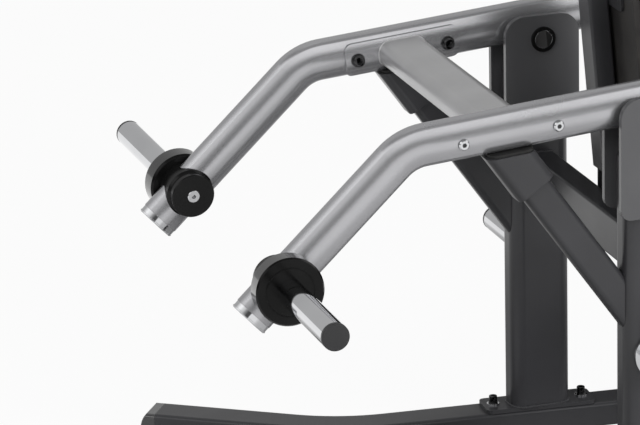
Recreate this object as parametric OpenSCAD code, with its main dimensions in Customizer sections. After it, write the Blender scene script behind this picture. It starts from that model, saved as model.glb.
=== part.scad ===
// Plate-loaded triceps press machine, seated, with two rocking arms.
// Origin on the floor under the pivot axis. +X points the way the user faces,
// +Y is the user's left, +Z is up. The weight horns lie on the -X side.

/* [Overall] */
// Height of the pivot axis above the floor
pivot_z = 830; // [760:5:900]
// Distance between the centre planes of the two arms
arm_spacing = 590; // [520:5:660]

/* [Arms] */
// Height of the oval arm tube
arm_h = 80; // [70:1:90]
// Width of the oval arm tube
arm_w = 48; // [44:1:54]
// Radius of the oval arm tube's narrow ends
arm_end_r = 18; // [15:1:21]
// Wall of the arm tube
arm_wall = 3; // [2:0.5:5]
// Rise of the upper arm towards the user, degrees
arm_rise = 4.6; // [2:0.1:8]
// Slope of the lower arm at the weight end, degrees
arm_drop = 43.1; // [30:0.1:55]
// Height of the arm's centre line over the pivot axis, measured at the pivot
arm_over_pivot = 30; // [20:1:34]
// Distance from the pivot to the front elbow, along X
elbow_x = 468; // [420:2:520]
// Centre-line radius of the elbows
elbow_r = 96; // [80:2:140]
// Length from the front elbow's corner to the weight horn, along the arm
elbow_to_horn = 326; // [280:2:380]
// Length of arm past the weight horn, with its end cap
horn_to_tip = 88; // [75:1:120]
// Width of the bright ring near the arm's tip
tip_ring_len = 10; // [6:1:16]
// Length of the arm's end cap
tip_cap_len = 4; // [3:0.5:8]
// Chamfer of the arm's end cap
tip_chamfer = 2; // [1:0.5:2.5]
// Distance from the pivot to the rear elbow, along X
rear_elbow_x = 230; // [190:2:270]
// Slope of the handle end of the arm, degrees below level
rear_drop = 22; // [10:1:30]
// Length from the rear elbow's corner to the handle end of the arm
rear_len = 215; // [170:5:260]

/* [Crossbeam] */
// Width of the crossbeam along the arm
beam_w = 95; // [80:1:110]
// Height of the crossbeam
beam_h = 50; // [40:1:56]
// Corner radius of the crossbeam
beam_r = 22; // [12:1:24]
// Wall of the crossbeam
beam_wall = 4; // [3:0.5:6]
// Distance from the pivot to the crossbeam's middle, along the arm
beam_x = 279; // [240:1:300]
// Distance of the crossbeam and its bolts below the arm's centre line
beam_below = 7; // [0:0.5:8]
// Length of the saddle plate that clamps the crossbeam to the arm
saddle_len = 228; // [216:1:260]
// Height of the saddle plate
saddle_h = 65; // [56:1:78]
// Thickness of the saddle plate
saddle_t = 6; // [4:0.5:8]
// Distance between the two saddle bolts
saddle_bolt_pitch = 181; // [160:1:190]
// Diameter of the saddle bolts
saddle_bolt_d = 12; // [10:1:14]

/* [Weight horns] */
// Diameter of the plate sleeve on each horn
horn_d = 50; // [48:0.5:50]
// Length of the horn from the arm's centre to its tip
horn_reach = 349; // [250:1:380]
// Rise of the horn towards its tip, degrees
horn_rise = 2.5; // [0:0.1:4]
// Sweep of the horn away from the user, degrees
horn_sweep = 2.3; // [0:0.1:4]
// Diameter of the boss that the arm's two lower stretches are cut to
boss_d = 92; // [86:1:98]
// Diameter of the boss's end, past its shoulder
boss_end_d = 84; // [76:1:86]
// Distance from the arm's centre to the boss's shoulder
boss_shoulder = 22; // [18:1:28]
// Reach of the boss towards the machine's middle
boss_in = 42; // [34:1:60]
// Diameter of the stop flange
flange_d = 126; // [110:1:140]
// Thickness of the stop flange, which is hollowed to the arm's side
flange_t = 43; // [40:0.5:45]
// Distance from the arm's centre to the flange's outer face
flange_face = 63; // [50:1:70]
// Length of the end cap of a horn
horn_cap_len = 8; // [5:0.5:12]

/* [Pivots] */
// Diameter of the pivot shaft
shaft_d = 35; // [25:1:36]
// Running clearance round the shaft, radial
run_gap = 0.05; // [0.02:0.01:0.08]
// Wall of the pivot bush
bush_wall = 5; // [3:0.5:6]
// Length of one pivot bush in its hub
bush_len = 25; // [16:1:28]
// Thickness of the bush's collar
bush_collar_t = 1.6; // [1:0.1:2]
// Outer diameter of the pivot hub
hub_d = 60; // [56:1:70]
// Free gap between the bush's collar and the clevis plate
hub_gap = 0.4; // [0.3:0.1:1]
// Outer diameter of the pivot's retaining ring
ring_d = 49; // [44:1:56]
// Thickness of the pivot's retaining ring
ring_t = 5; // [3:0.5:8]

/* [Posts] */
// Depth of the post along X
post_x = 120; // [110:1:130]
// Width of the post along Y
post_y = 70; // [68:1:84]
// Corner radius of the post
post_r = 25; // [10:1:30]
// Wall of the post
post_wall = 4; // [3:0.5:6]
// Distance from the post's front face to the pivot axis
post_front = 60; // [54:1:64]
// Distance from the post's top to the pivot axis
post_below = 72; // [66:1:90]
// Thickness of a clevis plate
ear_t = 12; // [8:0.5:14]
// Width of a clevis plate along X
ear_x = 150; // [140:1:170]
// Distance from the clevis plate's front edge to the pivot
ear_front = 76; // [70:1:80]
// Height of the clevis plate over the pivot
ear_top = 47; // [44:1:60]
// Depth of the clevis plate below the pivot
ear_below = 180; // [150:5:220]
// Corner radius of the clevis plate
ear_r = 38; // [20:1:42]

/* [Stop struts] */
// Height of the strut's lower edge where it meets the post
strut_z = 435; // [400:5:460]
// Slope of the strut, degrees
strut_angle = 54.6; // [50:0.2:58]
// Depth of the strut
strut_h = 60; // [50:1:70]
// Width of the strut
strut_w = 40; // [34:1:50]
// Wall of the strut's tube
strut_wall = 4; // [3:0.5:6]
// Corner radius of the strut
strut_r = 12; // [8:1:14]
// Length of the thicker head at the strut's top, along its lower edge
head_len = 107; // [90:1:130]
// Wall of the head round the strut
head_wall = 10; // [6:0.5:12]
// Thickness of the rubber stop pad
pad_t = 5; // [4:0.5:12]
// Gap between a stop pad and the arm at rest
rest_gap = 0.3; // [0.2:0.1:0.6]

/* [Base] */
// Width of a base tube
base_w = 75; // [70:1:90]
// Height of a base tube
base_h = 50; // [45:1:70]
// Corner radius of a base tube
base_r = 8; // [4:1:12]
// Wall of a base tube
base_wall = 4; // [3:0.5:5]
// Angle at which the base tubes close in towards the user
base_in = 4.9; // [0:0.1:6]
// Length of base tube from the post's middle to where the tube starts to bend
bend_x = 306; // [280:2:340]
// Angle through which the base tube's front end bends outwards
bend_angle = 30; // [20:1:40]
// Centre-line radius of the base tube's bend
bend_r = 362; // [250:2:400]
// Straight length of the base tube past its bend
toe_len = 272; // [220:2:320]
// Length of the top of a base end cap
base_cap_len = 18; // [12:1:24]
// Nose radius of a base end cap
base_cap_r = 50; // [46:1:60]
// Height of the rubber feet
foot_h = 20; // [12:1:30]
// Diameter of the rubber feet
foot_d = 70; // [56:1:76]
// Width of the cross tubes and the middle rail
cross_w = 60; // [50:1:70]
// Height of the cross tubes and the middle rail
cross_h = 40; // [30:1:50]
// Distance from the pivot to the front cross tube's middle
front_cross_x = 230; // [190:1:260]
// Distance from the pivot to the rear cross tube's middle
rear_cross_x = 670; // [640:2:720]
// Length of the post's foot plate ahead of the post
plate_front = 51; // [44:1:70]
// Length of the post's foot plate behind the post
plate_rear = 51; // [40:1:70]
// Width of the post's foot plate
plate_w = 73; // [66:1:80]
// Thickness of the post's foot plate
plate_t = 8; // [5:0.5:12]
// Corner radius of the post's foot plate
plate_r = 12; // [4:1:20]
// Distance of the foot bolt from the plate's end
bolt_edge = 21; // [14:1:24]
// Diameter of the foot bolts
bolt_d = 10; // [8:1:14]

/* [Storage horns] */
// Height of the storage horns
store_z = 385; // [320:5:420]
// Length of a storage horn past its flange
store_len = 190; // [150:5:260]
// Diameter of a storage horn's flange
store_flange_d = 94; // [80:1:110]
// Thickness of a storage horn's flange
store_flange_t = 8; // [6:1:12]

/* [Handles] */
// Diameter of the handle's swivel shaft
swivel_d = 30; // [24:1:32]
// Length of the handle's swivel sleeve
swivel_len = 55; // [45:1:70]
// Wall of the handle's swivel sleeve
swivel_wall = 8; // [6:1:10]
// Diameter of the handle bar
bar_d = 26; // [22:1:30]
// Distance from the swivel axis to the grip axis
grip_offset = 85; // [75:1:110]
// Bend radius of the handle bar
bar_bend_r = 36; // [30:1:44]
// Length of the rubber grip
grip_len = 130; // [110:1:160]
// Outer diameter of the rubber grip
grip_d = 34; // [32:1:40]
// Width of the bright collars at both ends of the grip
collar_len = 8; // [5:1:12]

/* [Seat] */
// Distance from the pivot to the seat column
column_x = 370; // [330:2:400]
// Outer size of the seat column's sleeve
column_w = 60; // [50:1:70]
// Height of the seat column's sleeve above the middle rail
column_len = 270; // [240:5:300]
// Wall of the column's sleeve and of the sliding tube
column_wall = 4; // [3:0.5:5]
// Sliding clearance of the seat tube, each side
slide_gap = 0.5; // [0.3:0.1:0.8]
// Height of the seat tube's top at its lowest setting
seat_tube_top = 412; // [400:1:450]
// Overlap of the seat tube in its sleeve at the highest setting
seat_tube_hold = 55; // [40:5:90]
// Distance between two seat settings
hole_pitch = 25; // [20:1:30]
// Number of seat steps above the lowest setting
hole_steps = 6; // [4:1:7]
// Diameter of the seat's locking pin
pin_d = 12; // [10:0.5:14]
// Travel of the locking pin when pulled
pin_travel = 14; // [12:1:18]
// Length of the seat cushion
seat_len = 400; // [340:5:440]
// Width of the seat cushion
seat_w = 330; // [280:5:340]
// Thickness of the seat cushion at its edge
seat_t = 52; // [40:1:70]
// Thickness of the boards under the cushions
board_t = 15; // [12:1:20]

/* [Back support] */
// Height of the tie tube between the posts
tie_z = 560; // [520:5:590]
// Height of the tie tube's section
tie_h = 80; // [60:1:90]
// Depth of the tie tube's section
tie_w = 50; // [40:1:50]
// Lean of the back support, degrees
back_lean = 5; // [0:0.5:8]
// Depth of the back support's upright
upright_x = 40; // [34:1:50]
// Width of the back support's upright
upright_y = 60; // [50:1:80]
// Length of the back cushion
back_len = 560; // [480:5:600]
// Width of the back cushion
back_w = 300; // [260:5:340]
// Thickness of the back cushion at its edge
back_t = 48; // [40:1:60]
// Crown of both cushions over their edge
crown = 12; // [6:1:18]

/* [Hidden] */
$fn = 64;
half_y = arm_spacing / 2;
reach_tip = elbow_to_horn + horn_to_tip;
// The oval's end centres, the radius of its sides and their centres
oval_end = arm_h / 2 - arm_end_r;
oval_r = (pow(arm_w / 2, 2) + pow(oval_end, 2) - pow(arm_end_r, 2)) / (arm_w - 2 * arm_end_r);
oval_side = oval_r - arm_w / 2;
arm_bend = arm_drop - arm_rise;
arm_tangent = elbow_r * tan(arm_bend / 2);
rear_bend = arm_rise + rear_drop;
rear_tangent = elbow_r * tan(rear_bend / 2);
arm_z0 = pivot_z + arm_over_pivot;
elbow_z = arm_z0 - elbow_x * tan(arm_rise);
rear_elbow_z = arm_z0 + rear_elbow_x * tan(arm_rise);
upper_len = (elbow_x + rear_elbow_x) / cos(arm_rise) - arm_tangent - rear_tangent;
tip_len = tip_ring_len + tip_cap_len;
horn_x = -elbow_x - elbow_to_horn * cos(arm_drop);
horn_z = elbow_z - elbow_to_horn * sin(arm_drop);
tip_x = -elbow_x - reach_tip * cos(arm_drop);
// How far the arms reach ahead of the pivot; the base reaches as far behind it
front_reach = -tip_x + (arm_h / 2 - tip_chamfer) * sin(arm_drop);
swivel_gap = 0.3;
// Edge chamfer of caps, shafts and screws
bevel = 1.5;
bolt_play = 0.8;
screw_play = 0.6;
washer_t = 2.5;
bolt_head_h = 8;
foot_nut_h = 11;
bolt_end = 16;
hub_len = post_y - 2 * (bush_collar_t + hub_gap);
flange_rim = 2;
flange_edge = 3;
flange_back_edge = 4;
step_bite = 0.5;
boss_screw_d = 12;
boss_screw_len = 30;
boss_screw_head_d = 24;
boss_screw_head_t = 3;
key_d = 9;
ring_step_d = 90;
groove_r = 1.2;
base_top = foot_h + base_h;
base_mid = foot_h + base_h / 2;
plate_top = base_top + plate_t;
post_top = pivot_z - post_below;
post_mid_x = post_x / 2 - post_front;
plate_x0 = -post_front - plate_front;
plate_x1 = post_x - post_front + plate_rear;
cap_mid_z = foot_h + 0.37 * base_h;
cap_back = sqrt(pow(base_cap_r, 2) - pow(base_top - cap_mid_z, 2)) - base_cap_len;
cap_bite = base_cap_r - cap_back;
// Length of base tube behind the post's middle
base_rear = (front_reach - base_w / 2 * sin(base_in)) / cos(base_in) - cap_bite;
arm_under_z = arm_z0 - arm_h / 2 / cos(arm_rise);
pad_inset = 4;
head_h = strut_h + 2 * head_wall;
head_w = strut_w + 2 * head_wall;
head_r = strut_r + 4;
saddle_y = arm_w / 2 + saddle_t;
// Depth of the flat seats cut for the saddle bolts' heads and nuts
seat_depth = 2;
nut_d = 20;
saddle_corner = 14;
nut_h = 5;
head_d = 26;
head_flange_h = 3;
cap_head_h = 11;
socket_depth = 6;
swivel_od = swivel_d + 2 * (run_gap + swivel_wall);
swivel_cap_t = 8;
rear_end_x = rear_elbow_x + rear_len * cos(rear_drop);
rear_end_z = rear_elbow_z - rear_len * sin(rear_drop);
plug_len = 12;
grip_start = collar_len + 4;
bar_len = grip_start + grip_len + collar_len;
collar_d = grip_d + 4;
grip_cap_t = 3;
cross_z = foot_h + cross_h / 2;
rail_top = foot_h + cross_h;
column_top = rail_top + column_len;
seat_tube_w = column_w - 2 * column_wall - 2 * slide_gap;
seat_travel = hole_pitch * hole_steps;
seat_tube_bottom = column_top - seat_tube_hold - seat_travel;
pin_below = 35;
pin_z = column_top - pin_below;
pin_hole_d = pin_d + 1;
barrel_d = pin_d + 12;
barrel_hex_h = 8;
barrel_len = pin_travel + 2 * barrel_hex_h;
knob_d = 34;
knob_len = 26;
knob_edge = 6;
pin_nose = 3;
seat_plate_t = 6;
seat_plate_l = 220;
seat_plate_w = 160;
seat_plate_r = 14;
seat_z = seat_tube_top + seat_plate_t + board_t;
tube_r = 6;
upright_off = tie_w / 2 + upright_x / 2 - tie_h / 2 * tan(back_lean);
upright_down = 60;
upright_cap_t = 4;
back_bottom = 10;
upright_len = upright_down + back_bottom + back_len * 0.9;
bracket_t = 6;
bracket_h = 90;
bracket_w = back_w * 0.6;
bracket_r = 10;
bracket_share = 0.22;
screw_y = back_w * 0.22;
board_inset = 14;
board_r = 40;
screw_d = 8;
screw_head_d = 14;
screw_head_t = 4;
black = [0.09, 0.09, 0.1];
frame_grey = [0.2, 0.2, 0.21];
arm_grey = [0.66, 0.66, 0.68];
beam_grey = [0.6, 0.6, 0.6];
chrome = [0.82, 0.82, 0.84];
rubber = [0.06, 0.06, 0.06];

// Shared shapes

// Mirrors the left-hand shape to the right when side is below zero
module sided(side) {
    if (side < 0) mirror([0, 1, 0]) children();
    else children();
}

module both() {
    for (side = [1, -1]) sided(side) children();
}

// Rectangle with round corners, true arcs
module rounded(x, y, r) {
    if (x > 2 * r) square([x - 2 * r, y], center = true);
    if (y > 2 * r) square([x, y - 2 * r], center = true);
    for (i = [-1, 1], j = [-1, 1])
        translate([i * (x / 2 - r), j * (y / 2 - r)]) circle(r = r);
}

module ring_section(x, y, r, wall) {
    difference() {
        rounded(x, y, r);
        rounded(x - 2 * wall, y - 2 * wall, max(r - wall, 0.5));
    }
}

// Oval of four true arcs, larger than the arm tube's outline all round by grow
module oval(grow = 0) {
    for (i = [-1, 1]) translate([i * oval_end, 0]) circle(r = arm_end_r + grow);
    intersection() {
        translate([0, oval_side]) circle(r = oval_r + grow);
        translate([0, -oval_side]) circle(r = oval_r + grow);
        square([2 * oval_end * (oval_r + grow) / (oval_r - arm_end_r), 2 * arm_w], center = true);
    }
}

module arm_section() {
    difference() {
        oval();
        oval(-arm_wall);
    }
}

// Lays a 2D section along +X, its first axis pointing down
module along_x(len) {
    rotate([0, 90, 0]) linear_extrude(len) children();
}

// Sweeps a section along straights and bends: steps are [length, turn up, radius]
module run(steps, i = 0) {
    along_x(steps[i][0]) children();
    turn = steps[i][1];
    radius = steps[i][2];
    side = turn < 0 ? 1 : 0;
    if (turn != 0) translate([steps[i][0], 0, 0]) mirror([0, 0, side]) {
        translate([0, 0, radius]) rotate([0, 90, 0]) rotate([90, 0, 0])
            rotate_extrude(angle = abs(turn)) translate([radius, 0]) children();
        if (i + 1 < len(steps)) translate([0, 0, radius]) rotate([0, -abs(turn), 0])
            translate([0, 0, -radius]) mirror([0, 0, side]) run(steps, i + 1) children();
    }
}

// Upper arm's frame: origin on the centre line over the pivot, +X along the arm
module at_arm() {
    translate([0, half_y, arm_z0]) rotate([0, -arm_rise, 0]) children();
}

// Lower arm's frame: origin at a length past the front elbow, +X back up the arm
module at_lower(len) {
    translate([-elbow_x - len * cos(arm_drop), half_y, elbow_z - len * sin(arm_drop)])
        rotate([0, -arm_drop, 0]) children();
}

// Horn's frame: origin on the arm's centre plane, +Z along the horn, outwards
module at_horn() {
    translate([horn_x, half_y, horn_z]) rotate([horn_rise, 0, horn_sweep])
        rotate([-90, 0, 0]) children();
}

// Handle's frame: origin at the end of the arm, +X along the arm's end
module at_handle() {
    translate([rear_end_x, half_y, rear_end_z]) rotate([0, rear_drop, 0]) children();
}

module at_pivot() {
    translate([0, half_y, pivot_z]) rotate([-90, 0, 0]) children();
}

module disc(d, z0, z1) {
    translate([0, 0, z0]) cylinder(d = d, h = z1 - z0);
}

module tube(od, id, z0, z1) {
    difference() {
        disc(od, z0, z1);
        disc(id, z0 - 1, z1 + 1);
    }
}

// Disc with a chamfered outer edge
module capped(d, z0, z1, c) {
    rotate_extrude() polygon([[0, z0], [d / 2, z0], [d / 2, z1 - c], [d / 2 - c, z1], [0, z1]]);
}

// Base

// Base tube's frame: origin under the post's middle, +X back along the tube
module at_base() {
    translate([0, half_y, 0]) rotate([0, 0, -base_in]) children();
}

module base_shape() {
    at_base() translate([base_rear, 0, base_mid]) rotate([0, 0, 180]) rotate([90, 0, 0])
        run([[base_rear + bend_x, bend_angle, bend_r], [toe_len, 0, 0]]) children();
}

// Toe's frame: origin at a length past the bend, +X on along the toe
module at_toe(len) {
    x = bend_x + bend_r * sin(bend_angle) + len * cos(bend_angle);
    y = bend_r * (1 - cos(bend_angle)) + len * sin(bend_angle);
    at_base() translate([-x, y, 0]) rotate([0, 0, 180 - bend_angle]) children();
}

module foot_bolt_places() {
    for (x = [plate_x0 + bolt_edge, plate_x1 - bolt_edge])
        at_base() translate([x, 0, 0]) children();
}

module base_tube() {
    color(frame_grey) difference() {
        base_shape() ring_section(base_w, base_h, base_r, base_wall);
        foot_bolt_places() disc(bolt_d + bolt_play, base_mid, base_top + 1);
    }
}

module base_tube_left() { base_tube(); }
module base_tube_right() { sided(-1) base_tube(); }

// End cap: the tube's outline cut to a round nose, looking along +X
module base_cap() {
    color(black) intersection() {
        along_x(base_cap_r) rounded(base_h, base_w, base_r);
        translate([-cap_back, 0, cap_mid_z - base_mid]) rotate([90, 0, 0])
            cylinder(r = base_cap_r, h = 2 * base_w, center = true);
    }
}

module base_caps() {
    both() {
        at_toe(toe_len) translate([0, 0, base_mid]) base_cap();
        at_base() translate([base_rear, 0, base_mid]) base_cap();
    }
}

// Tube across the machine, its ends cut to the base tubes
module cross_tube(x) {
    span = arm_spacing - 2 * x * tan(base_in);
    color(frame_grey) difference() {
        translate([x, -span / 2, cross_z]) rotate([0, 0, 90])
            along_x(span) ring_section(cross_h, cross_w, tube_r, base_wall);
        both() base_shape() rounded(base_w, base_h, base_r);
    }
}

module front_cross_tube() { cross_tube(-front_cross_x); }
module rear_cross_tube() { cross_tube(rear_cross_x); }

module middle_rail() {
    color(frame_grey) translate([cross_w / 2 - front_cross_x, 0, cross_z])
        along_x(rear_cross_x + front_cross_x - cross_w)
            ring_section(cross_h, cross_w, tube_r, base_wall);
}

module foot() {
    edge = 2;
    top_r = foot_d / 2 - 3;
    color(rubber) rotate_extrude()
        polygon([[0, 0], [foot_d / 2 - edge, 0], [foot_d / 2, edge], [top_r, foot_h], [0, foot_h]]);
}

module rubber_feet() {
    both() {
        at_toe(toe_len - foot_d) foot();
        for (x = [post_mid_x, base_rear - foot_d]) at_base() translate([x, 0, 0]) foot();
    }
}

module foot_plate() {
    color(black) difference() {
        at_base() translate([(plate_x0 + plate_x1) / 2, 0, base_top])
            linear_extrude(plate_t) rounded(plate_x1 - plate_x0, plate_w, plate_r);
        foot_bolt_places() disc(bolt_d + bolt_play, base_top - 1, plate_top + 1);
    }
}

module foot_plate_left() { foot_plate(); }
module foot_plate_right() { sided(-1) foot_plate(); }

// Bolt from inside the base tube, with its nut on the foot plate
module foot_bolts() {
    head_z = base_top - base_wall - bolt_head_h;
    nut_z = plate_top + washer_t;
    color(black) both() foot_bolt_places() {
        disc(bolt_d, head_z + 1, nut_z + bolt_end);
        translate([0, 0, head_z]) cylinder(d = bolt_d * 2, h = bolt_head_h, $fn = 6);
        translate([0, 0, nut_z]) cylinder(d = bolt_d * 1.9, h = foot_nut_h, $fn = 6);
    }
}

module foot_washers() {
    color(chrome) both() foot_bolt_places()
        tube(bolt_d * 2.5, bolt_d, plate_top, plate_top + washer_t);
}

// Posts and stops

module post() {
    color(frame_grey) difference() {
        translate([post_mid_x, half_y, plate_top])
            linear_extrude(post_top - plate_top) rounded(post_x, post_y, post_r);
        translate([post_mid_x, half_y, plate_top - 1])
            linear_extrude(post_top - plate_top - post_wall)
                rounded(post_x - 2 * post_wall, post_y - 2 * post_wall, post_r - post_wall);
    }
}

module post_left() { post(); }
module post_right() { sided(-1) post(); }

module clevis_plate() {
    lower_r = ear_r / 2;
    x0 = -ear_front;
    x1 = ear_x - ear_front;
    difference() {
        rotate([90, 0, 0]) linear_extrude(ear_t) {
            translate([x0, lower_r - ear_below]) square([ear_x, ear_below + ear_top - lower_r - ear_r]);
            translate([x0 + lower_r, -ear_below]) square([ear_x - 2 * lower_r, ear_below]);
            translate([x0 + ear_r, 0]) square([ear_x - 2 * ear_r, ear_top]);
            for (x = [x0 + lower_r, x1 - lower_r])
                translate([x, lower_r - ear_below]) circle(r = lower_r);
            for (x = [x0 + ear_r, x1 - ear_r]) translate([x, ear_top - ear_r]) circle(r = ear_r);
        }
        rotate([90, 0, 0]) disc(shaft_d, -1, ear_t + 1);
    }
}

module clevis_plates() {
    color(frame_grey) for (y = [-post_y / 2, post_y / 2 + ear_t])
        translate([0, half_y + y, pivot_z]) clevis_plate();
}

module clevis_plates_left() { clevis_plates(); }
module clevis_plates_right() { sided(-1) clevis_plates(); }

// Strut's frame: origin where its lower edge meets the post's front face,
// +X up along the lower edge, +Z square to it, into the strut
module at_strut() {
    translate([-post_front, half_y, strut_z]) rotate([0, 0, 180])
        rotate([0, -strut_angle, 0]) children();
}

// Height of the arm's underside on the line where the strut's head ends
strut_run = (arm_under_z - strut_z + post_front * -tan(arm_rise))
    / (sin(strut_angle) + cos(strut_angle) * tan(arm_rise));

// Everything under the plane that the stop pad lies on
module under_arm(drop) {
    span = 900;
    translate([0, half_y, arm_under_z - drop / cos(arm_rise)]) rotate([0, -arm_rise, 0])
        translate([-span, -span / 2, -span]) cube([2 * span, span, span]);
}

module strut_bar(h, w, r, x0, drop, off) {
    intersection() {
        at_strut() translate([x0, 0, h / 2 - off]) along_x(strut_run + h) rounded(h, w, r);
        under_arm(drop);
    }
}

module stop_strut() {
    color(frame_grey) difference() {
        strut_bar(strut_h, strut_w, strut_r, -strut_h, pad_t + rest_gap, 0);
        strut_bar(strut_h - 2 * strut_wall, strut_w - 2 * strut_wall, strut_r - strut_wall,
            -strut_h, pad_t + rest_gap + strut_wall, -strut_wall);
        translate([post_mid_x, half_y, 0]) linear_extrude(post_top)
            rounded(post_x, post_y, post_r);
        translate([post_mid_x, half_y - post_y / 2, 0]) cube([post_x, post_y, post_top]);
    }
}

module stop_strut_left() { stop_strut(); }
module stop_strut_right() { sided(-1) stop_strut(); }

module strut_head() {
    color(frame_grey) difference() {
        strut_bar(head_h, head_w, head_r, strut_run - head_len, pad_t + rest_gap, head_wall);
        strut_bar(strut_h, strut_w, strut_r, 0, -head_wall, 0);
    }
}

module strut_head_left() { strut_head(); }
module strut_head_right() { sided(-1) strut_head(); }

// Rubber pad on the head's top, its length set by the head's slant
module stop_pads() {
    slant = strut_angle + arm_rise;
    pad_len = head_h / sin(slant) - 2 * pad_inset;
    lower_x = -post_front - strut_run * cos(strut_angle);
    pad_x = lower_x - head_wall * sin(slant) + head_h / sin(slant) / 2;
    pad_z = pivot_z + arm_over_pivot + pad_x * tan(arm_rise);
    color(rubber) both() translate([pad_x, half_y, pad_z]) rotate([0, -arm_rise, 0])
        translate([0, 0, -arm_h / 2 - pad_t - rest_gap])
            linear_extrude(pad_t) rounded(pad_len, head_w - 2 * pad_inset, head_r);
}

module pivot_shafts() {
    color(chrome) both() at_pivot()
        capped(shaft_d, -post_y / 2 - ear_t - ring_t, post_y / 2 + ear_t + ring_t, bevel);
}

module pivot_rings() {
    outer = post_y / 2 + ear_t;
    color(black) both() at_pivot() {
        tube(ring_d, shaft_d, outer, outer + ring_t);
        tube(ring_d, shaft_d, -outer - ring_t, -outer);
    }
}

module at_store() {
    translate([post_mid_x, half_y + post_y / 2, store_z]) rotate([-90, 0, 0]) children();
}

module storage_horns() {
    color(chrome) both() at_store() {
        disc(store_flange_d, 0, store_flange_t);
        disc(horn_d, store_flange_t, store_flange_t + store_len - horn_cap_len);
    }
}

module storage_horn_caps() {
    end = store_flange_t + store_len;
    color(black) both() at_store() capped(horn_d, end - horn_cap_len, end, bevel);
}

// Back support

module tie_tube() {
    color(frame_grey) translate([post_mid_x, post_y / 2 - half_y, tie_z]) rotate([0, 0, 90])
        along_x(arm_spacing - post_y) ring_section(tie_h, tie_w, tube_r, post_wall);
}

// Back support's frame: origin on the tie tube's axis, +Z up the leaning upright
module at_back() {
    translate([post_mid_x, 0, tie_z]) rotate([0, -back_lean, 0]) children();
}

back_face = upright_off + upright_x / 2;
bracket_heights = [for (k = [bracket_share, 1 - bracket_share]) back_bottom + back_len * k];

// Tube saddled onto the tie tube's rear face
module back_upright() {
    color(frame_grey) difference() {
        at_back() translate([upright_off, 0, -upright_down]) linear_extrude(upright_len)
            ring_section(upright_x, upright_y, tube_r, post_wall);
        translate([post_mid_x - tie_w / 2, -upright_y, tie_z - tie_h])
            cube([tie_w, 2 * upright_y, 2 * tie_h]);
    }
}

module upright_caps() {
    color(black) at_back() for (z = [-upright_down - upright_cap_t, upright_len - upright_down])
        translate([upright_off, 0, z]) linear_extrude(upright_cap_t)
            rounded(upright_x, upright_y, tube_r);
}

module back_brackets() {
    color(frame_grey) at_back() for (z = bracket_heights)
        translate([back_face, 0, z]) rotate([0, 90, 0]) difference() {
            linear_extrude(bracket_t) rounded(bracket_h, bracket_w, bracket_r);
            for (y = [-screw_y, screw_y])
                translate([0, y, 0]) disc(screw_d + screw_play, -1, bracket_t + 1);
        }
}

module back_board() {
    color(black) at_back() translate([back_face + bracket_t, 0, back_bottom + back_len / 2])
        rotate([0, 90, 0]) linear_extrude(board_t)
            rounded(back_len - 2 * board_inset, back_w - 2 * board_inset, board_r);
}

// Screws through the brackets into the board
module back_screws() {
    color(chrome) at_back() for (z = bracket_heights, y = [-screw_y, screw_y])
        translate([back_face, y, z]) rotate([0, -90, 0]) {
            capped(screw_head_d, 0, screw_head_t, bevel);
            disc(screw_d, -bracket_t, 0);
        }
}

// Crowned cushion on z = 0: rings of one outline, drawn in between its corners
module cushion(x, y, t) {
    n = 64;
    rise = [[0, 0.985], [0.25, 1.0], [0.7, 1.0], [0.9, 0.985], [1, 0.955]];
    domes = [0.88, 0.74, 0.56, 0.36, 0.16];
    squareness = 7;
    draw_in = 0.02;
    rings = concat(
        [for (k = rise) [k[1], k[0] * t]],
        [for (s = domes) [s, t + crown * pow(1 - pow(s, 4), 0.7)]]);
    function radius(a) = pow(pow(abs(cos(a)), squareness) + pow(abs(sin(a)), squareness),
        -1 / squareness) * (1 - draw_in * pow(cos(2 * a), 2));
    points = concat(
        [for (k = rings, i = [0 : n - 1]) let (a = 360 * i / n)
            [k[0] * x / 2 * radius(a) * cos(a), k[0] * y / 2 * radius(a) * sin(a), k[1]]],
        [[0, 0, 0], [0, 0, t + crown]]);
    last = len(rings) - 1;
    foot_point = n * (last + 1);
    faces = concat(
        [for (k = [0 : last - 1], i = [0 : n - 1]) let (j = (i + 1) % n)
            [k * n + i, (k + 1) * n + i, (k + 1) * n + j, k * n + j]],
        [for (i = [0 : n - 1]) [i, (i + 1) % n, foot_point]],
        [for (i = [0 : n - 1]) [last * n + (i + 1) % n, last * n + i, foot_point + 1]]);
    polyhedron(points, faces, convexity = 4);
}

module back_cushion() {
    color(black) at_back()
        translate([back_face + bracket_t + board_t, 0, back_bottom + back_len / 2])
            rotate([0, 90, 0]) cushion(back_len, back_w, back_t);
}

// Seat

module pin_place(x) {
    translate([column_x + x, 0, pin_z]) rotate([0, 90, 0]) children();
}

module column_sleeve() {
    color(frame_grey) difference() {
        translate([column_x, 0, rail_top]) linear_extrude(column_len)
            ring_section(column_w, column_w, tube_r, column_wall);
        pin_place(0) disc(pin_hole_d, 0, column_w);
    }
}

module seat_tube() {
    color(chrome) difference() {
        translate([column_x, 0, seat_tube_bottom]) linear_extrude(seat_tube_top - seat_tube_bottom)
            ring_section(seat_tube_w, seat_tube_w, tube_r - column_wall + 1, column_wall);
        for (k = [0 : hole_steps]) translate([0, 0, -k * hole_pitch])
            pin_place(0) disc(pin_hole_d, 0, column_w);
    }
}

module seat_plate() {
    color(frame_grey) translate([column_x, 0, seat_tube_top])
        linear_extrude(seat_plate_t) rounded(seat_plate_l, seat_plate_w, seat_plate_r);
}

module seat_board() {
    color(black) translate([column_x, 0, seat_tube_top + seat_plate_t])
        linear_extrude(board_t)
            rounded(seat_len - 2 * board_inset, seat_w - 2 * board_inset, board_r);
}

module seat_cushion() {
    color(black) translate([column_x, 0, seat_z]) cushion(seat_len, seat_w, seat_t);
}

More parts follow.
